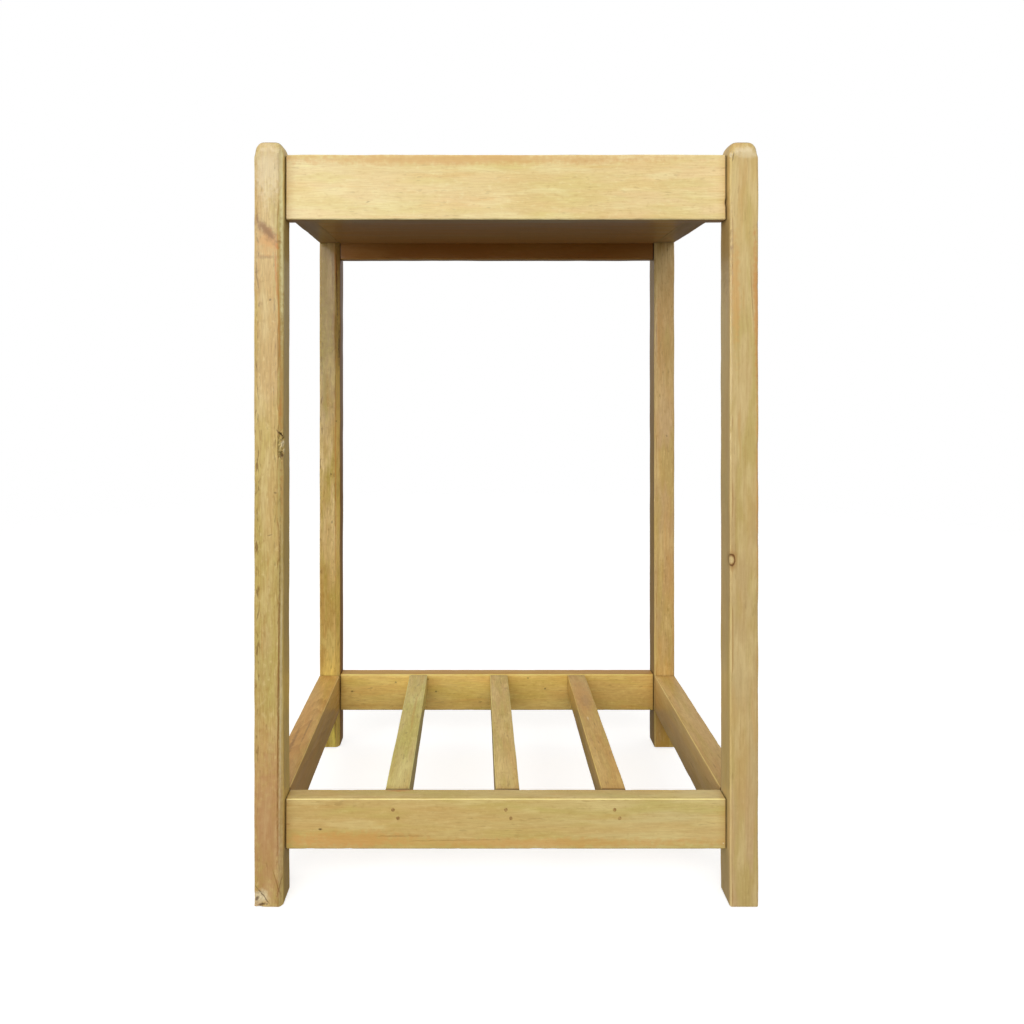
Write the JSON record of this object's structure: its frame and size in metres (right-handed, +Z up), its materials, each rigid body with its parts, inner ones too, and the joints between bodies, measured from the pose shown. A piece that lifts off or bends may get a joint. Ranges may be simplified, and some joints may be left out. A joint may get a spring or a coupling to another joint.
{
  "type": "potting bench",
  "caption": "Narrow two-level garden potting bench in varnished pine: square posts with rounded tops, a shallow lipped tray top and a low open slatted shelf.",
  "frame": {"origin": "on the floor, under the middle of the bench", "axes": "+Z up, +X to the right as seen from the front, +Y from the front to the back"},
  "size_m": [0.592, 0.386, 0.9],
  "materials": {
    "post_pine": "satin yellow varnish over planed pine, grain upright",
    "top_rail_pine": "satin yellow varnish over pale planed pine, grain lengthwise",
    "panel_pine": "satin yellow varnish over a planed pine panel",
    "shelf_rail_pine": "satin yellow varnish over planed pine, grain lengthwise",
    "slat_pine": "satin yellow varnish over planed pine, grain lengthwise",
    "dowel_beech": "plain unvarnished beech",
    "nail_steel": "bright drawn wire",
    "wood_filler": "dull brown filler under varnish"
  },
  "bodies": {
    "root": {"post_front_left": "post_pine", "post_front_right": "post_pine", "post_rear_left": "post_pine", "post_rear_right": "post_pine", "top_rail_front": "top_rail_pine", "top_rail_rear": "top_rail_pine", "top_rail_left": "top_rail_pine", "top_rail_right": "top_rail_pine", "top_panel": "panel_pine", "shelf_rail_front": "shelf_rail_pine", "shelf_rail_rear": "shelf_rail_pine", "shelf_rail_left": "shelf_rail_pine", "shelf_rail_right": "shelf_rail_pine", "slat_left": "slat_pine", "slat_middle": "slat_pine", "slat_right": "slat_pine", "dowels_top_front": "dowel_beech", "dowels_top_rear": "dowel_beech", "dowels_top_left": "dowel_beech", "dowels_top_right": "dowel_beech", "dowels_shelf_front": "dowel_beech", "dowels_shelf_rear": "dowel_beech", "dowels_shelf_left": "dowel_beech", "dowels_shelf_right": "dowel_beech", "slat_nails_front": "nail_steel", "nail_filler_front": "wood_filler", "slat_nails_rear": "nail_steel", "nail_filler_rear": "wood_filler"}
  },
  "joints": []
}
